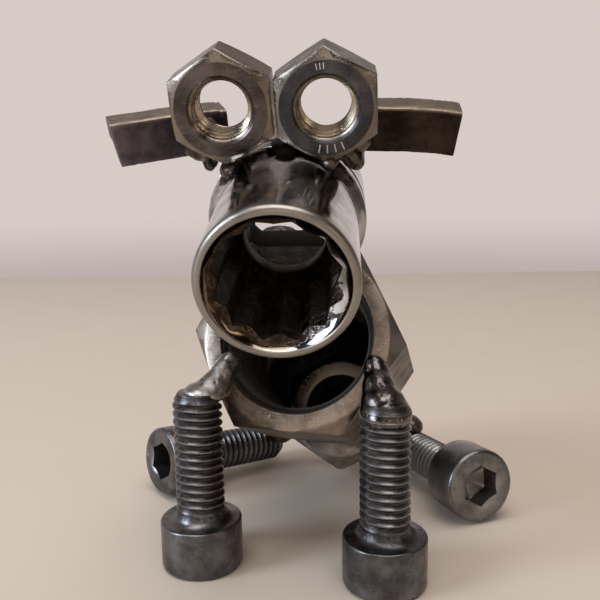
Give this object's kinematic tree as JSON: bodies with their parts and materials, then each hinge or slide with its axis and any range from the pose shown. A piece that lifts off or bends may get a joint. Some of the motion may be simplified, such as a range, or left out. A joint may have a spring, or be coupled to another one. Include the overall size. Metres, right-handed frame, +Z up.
{
  "type": "scrap metal dog sculpture",
  "caption": "Small sitting dog made of welded screws, hexagon nuts, a wrench socket and cut steel bars.",
  "frame": {"origin": "centre of the footprint box, on the surface the dog stands on", "axes": "+Z up; -Y is where the dog faces; +X is to the right for someone who looks the dog in the face"},
  "size_m": [0.0548, 0.0558, 0.0606],
  "materials": {
    "body_nut": "machined and worn, brownish silver",
    "rump_nut": "machined and worn, brownish silver",
    "foreleg_screw_left": "dark gunmetal steel, rolled threads, worn edges",
    "foreleg_screw_right": "dark gunmetal steel, rolled threads, worn edges",
    "hindleg_screw_left": "dark gunmetal steel, rolled threads, worn edges",
    "hindleg_screw_right": "dull zinc grey",
    "head_socket": "old chrome, chipped and pitted at the mouth",
    "eye_nut_left": "dark blued steel, scratched",
    "eye_nut_right": "dark blued steel, scratched",
    "ear_bar_left": "dark brown mill scale, nicked edges",
    "ear_bar_right": "dark brown mill scale, nicked edges",
    "weld_foreleg_left": "solidified weld metal, lumpy, oxidised silver grey",
    "weld_foreleg_right": "solidified weld metal, lumpy, oxidised silver grey",
    "weld_neck": "solidified weld metal, lumpy, oxidised silver grey",
    "weld_eyes": "solidified weld metal, lumpy, oxidised silver grey",
    "weld_eye_left": "solidified weld metal, lumpy, oxidised silver grey",
    "weld_eye_right": "solidified weld metal, lumpy, oxidised silver grey",
    "weld_ear_left": "solidified weld metal, lumpy, oxidised silver grey",
    "weld_ear_right": "solidified weld metal, lumpy, oxidised silver grey",
    "weld_rump": "solidified weld metal, lumpy, oxidised silver grey",
    "weld_hindleg_left": "solidified weld metal, lumpy, oxidised silver grey",
    "weld_hindleg_right": "solidified weld metal, lumpy, oxidised silver grey",
    "weld_rump_bore": "solidified weld metal, lumpy, oxidised silver grey"
  },
  "bodies": {
    "root": {"body_nut": "body_nut", "rump_nut": "rump_nut", "foreleg_screw_left": "foreleg_screw_left", "foreleg_screw_right": "foreleg_screw_right", "hindleg_screw_left": "hindleg_screw_left", "hindleg_screw_right": "hindleg_screw_right", "head_socket": "head_socket", "eye_nut_left": "eye_nut_left", "eye_nut_right": "eye_nut_right", "ear_bar_left": "ear_bar_left", "ear_bar_right": "ear_bar_right", "weld_foreleg_left": "weld_foreleg_left", "weld_foreleg_right": "weld_foreleg_right", "weld_neck": "weld_neck", "weld_eyes": "weld_eyes", "weld_eye_left": "weld_eye_left", "weld_eye_right": "weld_eye_right", "weld_ear_left": "weld_ear_left", "weld_ear_right": "weld_ear_right", "weld_rump": "weld_rump", "weld_hindleg_left": "weld_hindleg_left", "weld_hindleg_right": "weld_hindleg_right", "weld_rump_bore": "weld_rump_bore"}
  },
  "joints": []
}
